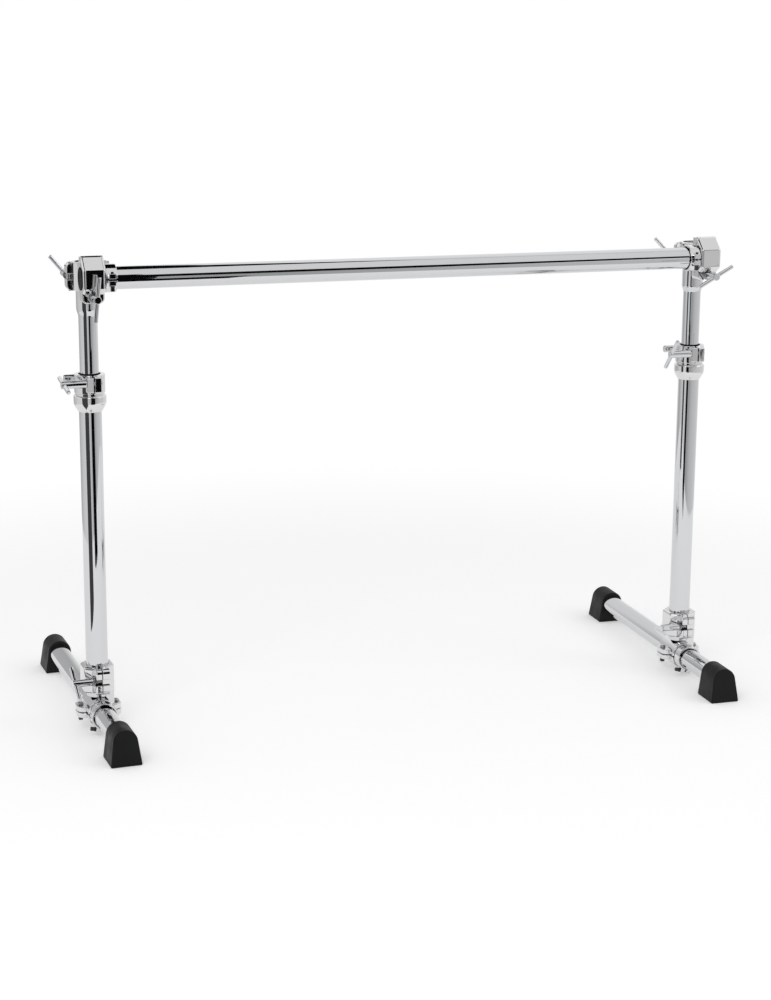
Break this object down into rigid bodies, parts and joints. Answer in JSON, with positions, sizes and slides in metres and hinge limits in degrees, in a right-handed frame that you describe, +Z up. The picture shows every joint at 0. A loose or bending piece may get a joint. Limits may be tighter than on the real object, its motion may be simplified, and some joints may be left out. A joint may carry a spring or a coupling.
{
  "type": "drum rack frame",
  "caption": "Chrome-plated steel tube drum rack: a straight bar on two T-legs with hinged clamps, height clamps, memory locks and rubber feet.",
  "frame": {"origin": "on the floor, at the middle of the frame's box seen from above", "axes": "+X along the bar from the player's left leg to the right leg as seen from the front, +Y away from the viewer, +Z up"},
  "size_m": [1.212, 0.6002, 0.829],
  "materials": {
    "chrome": "mirror-bright chrome plate on drawn steel tube",
    "cast_chrome": "bright chrome plate on die-cast zinc, slightly soft over the cast surface",
    "zinc_steel": "zinc-plated steel, satin",
    "black_nylon": "moulded black nylon",
    "black_rubber": "moulded rubber, satin, slightly worn"
  },
  "bodies": {
    "bar": {"bar_tube": "chrome", "bar_cap_left": "black_nylon", "bar_cap_right": "black_nylon"},
    "left_lock": {"left_bar_lock": "cast_chrome", "left_bar_lock_screw": "zinc_steel"},
    "left_clamp": {"left_top_clamp": "cast_chrome", "left_upright_eye_bolt": "zinc_steel"},
    "left_bar_jaw": {"left_bar_jaw": "cast_chrome"},
    "left_bar_washer": {"left_bar_washer": "zinc_steel"},
    "left_bar_wing_nut": {"left_bar_wing_nut": "chrome"},
    "left_upright_jaw": {"left_upright_jaw": "cast_chrome"},
    "left_upright_washer": {"left_upright_washer": "zinc_steel"},
    "left_upright_wing_nut": {"left_upright_wing_nut": "chrome"},
    "left_upper": {"left_upper_tube": "chrome"},
    "left_bush": {"left_height_bush": "black_nylon"},
    "left_lower": {"left_lower_tube": "chrome", "left_height_clamp": "cast_chrome", "left_height_rear_bolt": "zinc_steel"},
    "left_height_wing_bolt": {"left_height_wing_bolt": "chrome"},
    "left_base": {"left_base_clamp": "cast_chrome", "left_base_cap": "cast_chrome", "left_base_bolt_left": "zinc_steel", "left_base_bolt_right": "zinc_steel"},
    "left_base_jaw": {"left_base_jaw": "cast_chrome"},
    "left_base_washer": {"left_base_washer": "zinc_steel"},
    "left_base_wing_nut": {"left_base_wing_nut": "chrome"},
    "left_floor": {"left_floor_tube": "chrome", "left_front_foot": "black_rubber", "left_back_foot": "black_rubber"},
    "left_floor_lock": {"left_floor_lock": "cast_chrome", "left_floor_lock_screw": "zinc_steel"},
    "right_lock": {"right_bar_lock": "cast_chrome", "right_bar_lock_screw": "zinc_steel"},
    "right_clamp": {"right_top_clamp": "cast_chrome", "right_upright_eye_bolt": "zinc_steel"},
    "right_bar_jaw": {"right_bar_jaw": "cast_chrome"},
    "right_bar_washer": {"right_bar_washer": "zinc_steel"},
    "right_bar_wing_nut": {"right_bar_wing_nut": "chrome"},
    "right_upright_jaw": {"right_upright_jaw": "cast_chrome"},
    "right_upright_washer": {"right_upright_washer": "zinc_steel"},
    "right_upright_wing_nut": {"right_upright_wing_nut": "chrome"},
    "right_upper": {"right_upper_tube": "chrome"},
    "right_bush": {"right_height_bush": "black_nylon"},
    "right_lower": {"right_lower_tube": "chrome", "right_height_clamp": "cast_chrome", "right_height_rear_bolt": "zinc_steel"},
    "right_height_wing_bolt": {"right_height_wing_bolt": "chrome"},
    "right_base": {"right_base_clamp": "cast_chrome", "right_base_cap": "cast_chrome", "right_base_bolt_left": "zinc_steel", "right_base_bolt_right": "zinc_steel"},
    "right_base_jaw": {"right_base_jaw": "cast_chrome"},
    "right_base_washer": {"right_base_washer": "zinc_steel"},
    "right_base_wing_nut": {"right_base_wing_nut": "chrome"},
    "right_floor": {"right_floor_tube": "chrome", "right_front_foot": "black_rubber", "right_back_foot": "black_rubber"},
    "right_floor_lock": {"right_floor_lock": "cast_chrome", "right_floor_lock_screw": "zinc_steel"}
  },
  "joints": [
    {"name": "left_lock_slide", "type": "slide", "parent": "bar", "child": "left_lock", "axis": [1, 0, 0], "range_m": [0, 0.15]},
    {"name": "left_clamp_tilt", "type": "hinge", "parent": "left_lock", "child": "left_clamp", "pos_m": [-0.54989, -0.13345, 0.7915], "axis": [1, 0, 0], "range_deg": [-90, 90]},
    {"name": "left_bar_jaw_open", "type": "hinge", "parent": "left_clamp", "child": "left_bar_jaw", "pos_m": [-0.54989, -0.13345, 0.8225], "axis": [-1, 0, 0], "range_deg": [0, 13]},
    {"name": "left_bar_nut_travel", "type": "slide", "parent": "left_clamp", "child": "left_bar_washer", "axis": [0, -1, 0], "range_m": [0, 0.0173]},
    {"name": "left_bar_nut_turn", "type": "hinge", "parent": "left_bar_washer", "child": "left_bar_wing_nut", "pos_m": [-0.54989, -0.13345, 0.7615], "axis": [0, -1, 0], "continuous": true},
    {"name": "left_upright_jaw_open", "type": "hinge", "parent": "left_clamp", "child": "left_upright_jaw", "pos_m": [-0.51889, -0.08745, 0.7915], "axis": [0, 0, -1], "range_deg": [0, 13]},
    {"name": "left_upright_nut_travel", "type": "slide", "parent": "left_clamp", "child": "left_upright_washer", "axis": [0, 1, 0], "range_m": [0, 0.0173]},
    {"name": "left_upright_nut_turn", "type": "hinge", "parent": "left_upright_washer", "child": "left_upright_wing_nut", "pos_m": [-0.57989, -0.08745, 0.7915], "axis": [0, 1, 0], "continuous": true},
    {"name": "left_leg_swivel", "type": "hinge", "parent": "left_clamp", "child": "left_upper", "pos_m": [-0.54989, -0.08745, 0.7915], "axis": [0, 0, 1], "continuous": true},
    {"name": "left_height_slide", "type": "slide", "parent": "left_upper", "child": "left_bush", "axis": [0, 0, 1], "range_m": [-0.15, 0.09]},
    {"name": "left_height_turn", "type": "hinge", "parent": "left_bush", "child": "left_lower", "pos_m": [-0.54989, -0.08745, 0.6115], "axis": [0, 0, 1], "continuous": true},
    {"name": "left_height_bolt_turn", "type": "hinge", "parent": "left_lower", "child": "left_height_wing_bolt", "pos_m": [-0.54885, -0.11893, 0.614], "axis": [-0.9995, -0.0332, 0], "continuous": true},
    {"name": "left_base_swivel", "type": "hinge", "parent": "left_lower", "child": "left_base", "pos_m": [-0.54989, -0.08745, 0.093], "axis": [0, 0, 1], "continuous": true},
    {"name": "left_base_jaw_open", "type": "hinge", "parent": "left_base", "child": "left_base_jaw", "pos_m": [-0.55092, -0.05647, 0.093], "axis": [0, 0, -1], "range_deg": [0, 13]},
    {"name": "left_base_nut_travel", "type": "slide", "parent": "left_base", "child": "left_base_washer", "axis": [-0.9995, -0.0332, 0], "range_m": [0, 0.0173]},
    {"name": "left_base_nut_turn", "type": "hinge", "parent": "left_base_washer", "child": "left_base_wing_nut", "pos_m": [-0.5489, -0.11743, 0.093], "axis": [-0.9995, -0.0332, 0], "continuous": true},
    {"name": "left_floor_slide", "type": "slide", "parent": "left_base", "child": "left_floor", "axis": [0.0332, -0.9995, 0], "range_m": [0, 0.28]},
    {"name": "left_floor_lock_slide", "type": "slide", "parent": "left_floor", "child": "left_floor_lock", "axis": [0.0332, -0.9995, 0], "range_m": [0, 0.08]},
    {"name": "right_lock_slide", "type": "slide", "parent": "bar", "child": "right_lock", "axis": [-1, 0, 0], "range_m": [0, 0.15]},
    {"name": "right_clamp_tilt", "type": "hinge", "parent": "right_lock", "child": "right_clamp", "pos_m": [0.56611, -0.13345, 0.7915], "axis": [1, 0, 0], "range_deg": [-90, 90]},
    {"name": "right_bar_jaw_open", "type": "hinge", "parent": "right_clamp", "child": "right_bar_jaw", "pos_m": [0.56611, -0.13345, 0.8225], "axis": [-1, 0, 0], "range_deg": [0, 13]},
    {"name": "right_bar_nut_travel", "type": "slide", "parent": "right_clamp", "child": "right_bar_washer", "axis": [0, -1, 0], "range_m": [0, 0.0173]},
    {"name": "right_bar_nut_turn", "type": "hinge", "parent": "right_bar_washer", "child": "right_bar_wing_nut", "pos_m": [0.56611, -0.13345, 0.7615], "axis": [0, -1, 0], "continuous": true},
    {"name": "right_upright_jaw_open", "type": "hinge", "parent": "right_clamp", "child": "right_upright_jaw", "pos_m": [0.59711, -0.08745, 0.7915], "axis": [0, 0, -1], "range_deg": [0, 13]},
    {"name": "right_upright_nut_travel", "type": "slide", "parent": "right_clamp", "child": "right_upright_washer", "axis": [0, 1, 0], "range_m": [0, 0.0173]},
    {"name": "right_upright_nut_turn", "type": "hinge", "parent": "right_upright_washer", "child": "right_upright_wing_nut", "pos_m": [0.53611, -0.08745, 0.7915], "axis": [0, 1, 0], "continuous": true},
    {"name": "right_leg_swivel", "type": "hinge", "parent": "right_clamp", "child": "right_upper", "pos_m": [0.56611, -0.08745, 0.7915], "axis": [0, 0, 1], "continuous": true},
    {"name": "right_height_slide", "type": "slide", "parent": "right_upper", "child": "right_bush", "axis": [0, 0, 1], "range_m": [-0.15, 0.09]},
    {"name": "right_height_turn", "type": "hinge", "parent": "right_bush", "child": "right_lower", "pos_m": [0.56611, -0.08745, 0.6115], "axis": [0, 0, 1], "continuous": true},
    {"name": "right_height_bolt_turn", "type": "hinge", "parent": "right_lower", "child": "right_height_wing_bolt", "pos_m": [0.56506, -0.11893, 0.614], "axis": [-0.9995, 0.0332, 0], "continuous": true},
    {"name": "right_base_swivel", "type": "hinge", "parent": "right_lower", "child": "right_base", "pos_m": [0.56611, -0.08745, 0.093], "axis": [0, 0, 1], "continuous": true},
    {"name": "right_base_jaw_open", "type": "hinge", "parent": "right_base", "child": "right_base_jaw", "pos_m": [0.56713, -0.05647, 0.093], "axis": [0, 0, -1], "range_deg": [0, 13]},
    {"name": "right_base_nut_travel", "type": "slide", "parent": "right_base", "child": "right_base_washer", "axis": [-0.9995, 0.0332, 0], "range_m": [0, 0.0173]},
    {"name": "right_base_nut_turn", "type": "hinge", "parent": "right_base_washer", "child": "right_base_wing_nut", "pos_m": [0.56511, -0.11743, 0.093], "axis": [-0.9995, 0.0332, 0], "continuous": true},
    {"name": "right_floor_slide", "type": "slide", "parent": "right_base", "child": "right_floor", "axis": [-0.0332, -0.9995, 0], "range_m": [0, 0.28]},
    {"name": "right_floor_lock_slide", "type": "slide", "parent": "right_floor", "child": "right_floor_lock", "axis": [-0.0332, -0.9995, 0], "range_m": [0, 0.08]}
  ],
  "couplings": [
    {"joint": "left_bar_nut_travel", "follows": "left_bar_jaw_open", "m_per_rad": 0.076},
    {"joint": "left_upright_nut_travel", "follows": "left_upright_jaw_open", "m_per_rad": 0.076},
    {"joint": "left_base_nut_travel", "follows": "left_base_jaw_open", "m_per_rad": 0.076},
    {"joint": "right_bar_nut_travel", "follows": "right_bar_jaw_open", "m_per_rad": 0.076},
    {"joint": "right_upright_nut_travel", "follows": "right_upright_jaw_open", "m_per_rad": 0.076},
    {"joint": "right_base_nut_travel", "follows": "right_base_jaw_open", "m_per_rad": 0.076}
  ]
}
